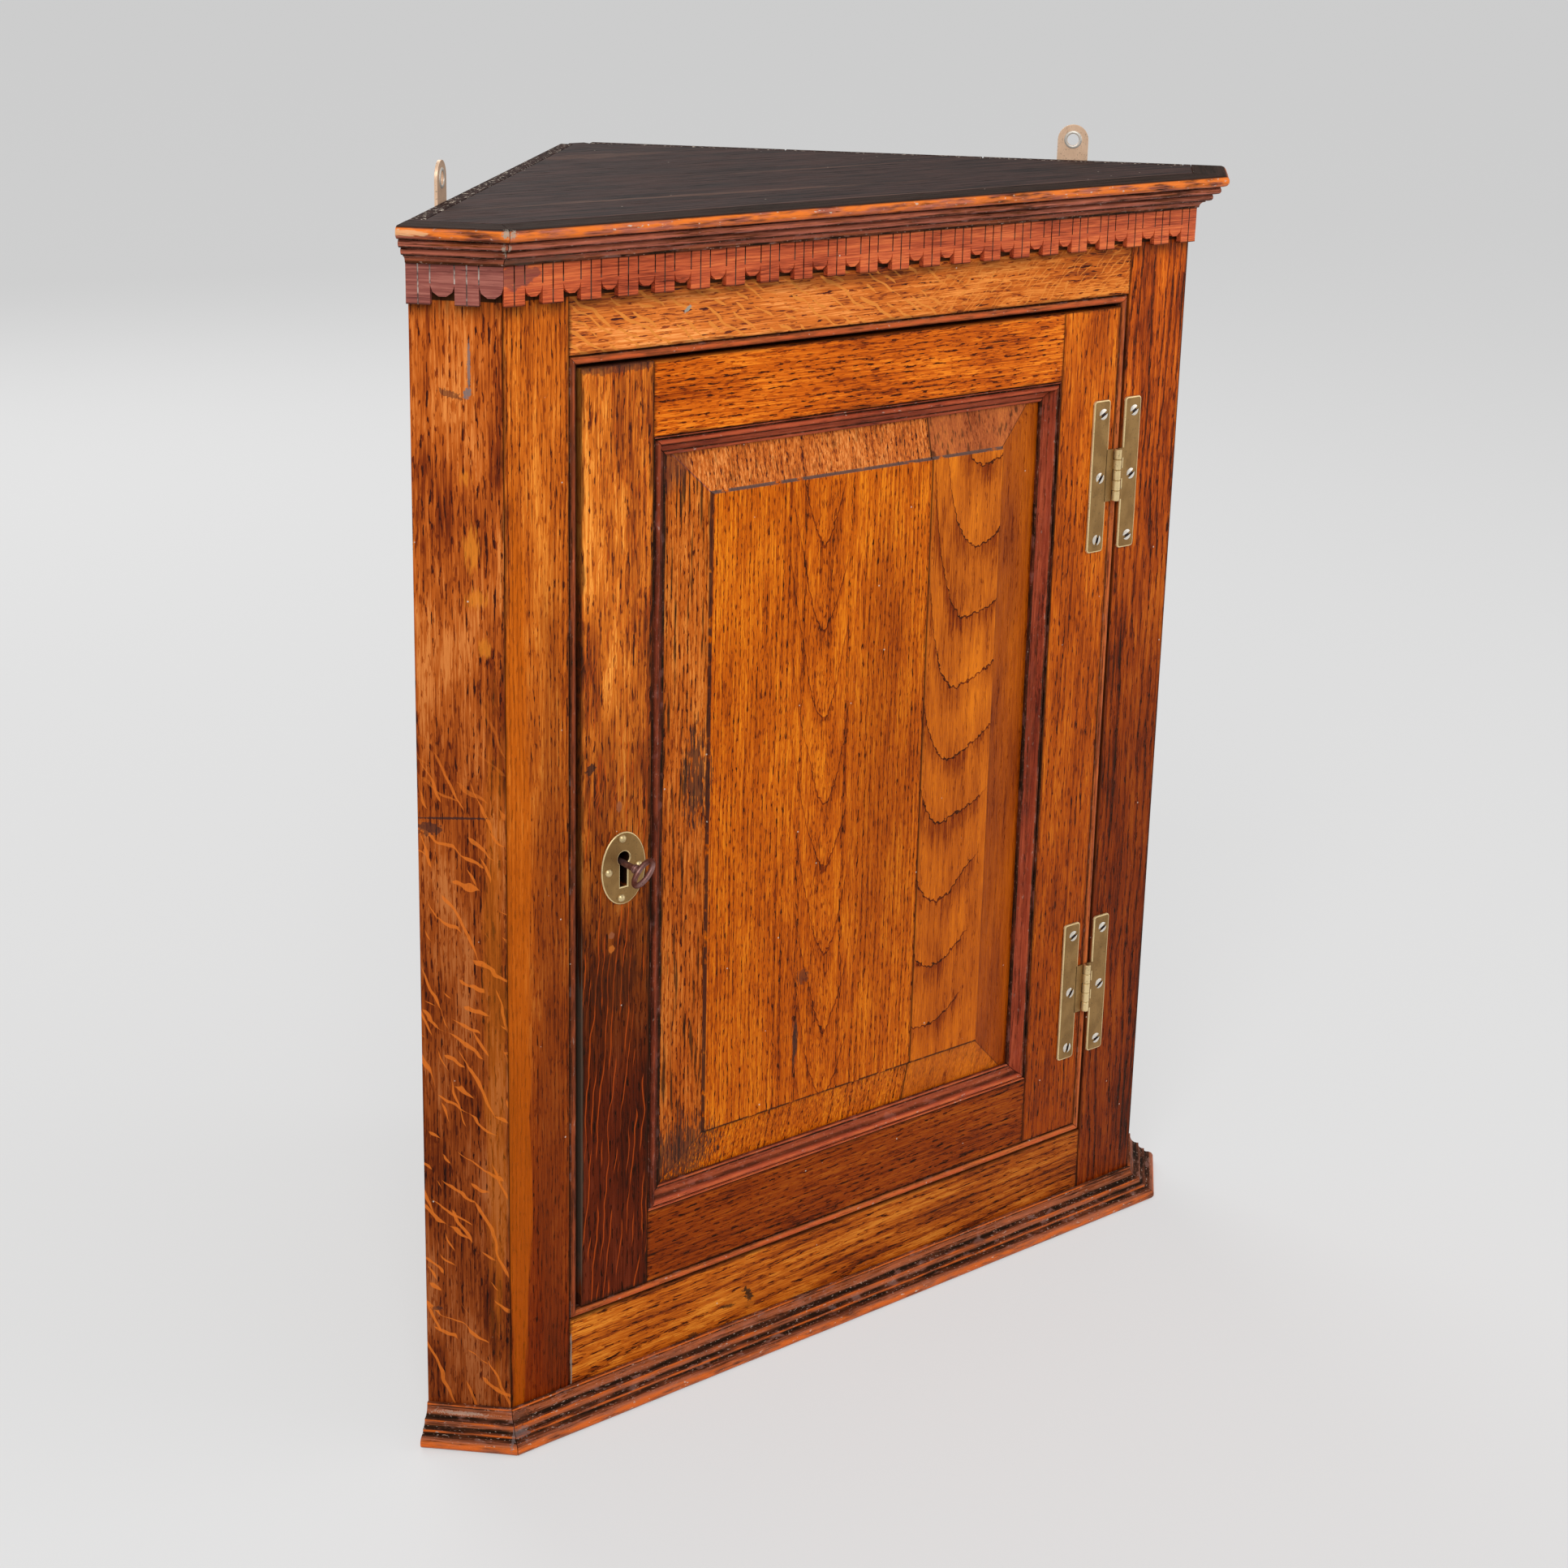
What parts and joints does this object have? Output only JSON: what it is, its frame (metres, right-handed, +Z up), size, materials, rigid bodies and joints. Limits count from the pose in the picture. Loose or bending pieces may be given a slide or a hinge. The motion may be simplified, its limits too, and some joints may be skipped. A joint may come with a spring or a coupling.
{
  "type": "corner cupboard",
  "caption": "Hanging corner cupboard in oak with a fielded-panel door, fretted frieze, brass surface hinges, lock with key and shelves inside.",
  "frame": {"origin": "middle of the bounding box, on the plane of the base", "axes": "+Z up, the door faces -Y, +X to the right of a person who faces the door"},
  "size_m": [0.745, 0.4132, 0.8935],
  "materials": {
    "oak": "waxed, honey to chestnut brown, open grain",
    "red_oak": "waxed, reddish brown mouldings",
    "dark_oak": "dry, darkened top",
    "plain_oak": "dry, unpolished inside and back boards",
    "brass": "aged, softly worn",
    "iron": "brown patinated iron"
  },
  "bodies": {
    "carcase": {"frame_stile_left": "oak", "frame_stile_right": "oak", "frame_rail_top": "oak", "frame_rail_bottom": "oak", "return_left": "oak", "return_right": "oak", "cornice_front": "red_oak", "cornice_left": "red_oak", "cornice_right": "red_oak", "base_moulding_front": "red_oak", "base_moulding_left": "red_oak", "base_moulding_right": "red_oak", "frieze_front": "red_oak", "frieze_left": "red_oak", "frieze_right": "red_oak", "cock_bead_top": "red_oak", "cock_bead_bottom": "red_oak", "cock_bead_left": "red_oak", "cock_bead_right": "red_oak", "top_board": "dark_oak", "bottom_board": "plain_oak", "corner_post": "plain_oak", "shelf_lower": "plain_oak", "shelf_upper": "plain_oak", "shelf_bearer_lower_left": "plain_oak", "shelf_bearer_lower_right": "plain_oak", "shelf_bearer_upper_left": "plain_oak", "shelf_bearer_upper_right": "plain_oak", "back_plank_left_1": "plain_oak", "back_plank_left_2": "plain_oak", "back_plank_left_3": "plain_oak", "back_plank_right_1": "plain_oak", "back_plank_right_2": "plain_oak", "back_plank_right_3": "plain_oak", "hinge_frame_leaf_lower": "brass", "hinge_frame_leaf_upper": "brass", "hinge_pin_lower": "brass", "hinge_pin_upper": "brass", "hanging_plate_left": "brass", "hanging_plate_right": "brass"},
    "door": {"door_stile_lock": "oak", "door_stile_hinge": "oak", "door_rail_top": "oak", "door_rail_bottom": "oak", "panel_board_wide": "oak", "panel_board_narrow": "oak", "hinge_door_leaf_lower": "brass", "hinge_door_leaf_upper": "brass", "escutcheon": "brass", "lock_case": "iron", "panel_moulding_top": "red_oak", "panel_moulding_bottom": "red_oak", "panel_moulding_left": "red_oak", "panel_moulding_right": "red_oak"},
    "key": {"key": "iron"},
    "lock_bolt": {"lock_bolt": "iron"}
  },
  "joints": [
    {"name": "door_hinge", "type": "hinge", "parent": "carcase", "child": "door", "pos_m": [0.2435, -0.1775, 0.4236], "axis": [0, 0, 1], "range_deg": [0, 140]},
    {"name": "key_turn", "type": "hinge", "parent": "door", "child": "key", "pos_m": [-0.216, -0.1741, 0.42], "axis": [0, -1, 0], "range_deg": [0, 230]},
    {"name": "bolt_throw", "type": "slide", "parent": "door", "child": "lock_bolt", "axis": [-1, 0, 0], "range_m": [0, 0.009]}
  ],
  "couplings": [
    {"joint": "key_turn", "follows": "bolt_throw", "rad_per_m": 446.02}
  ]
}
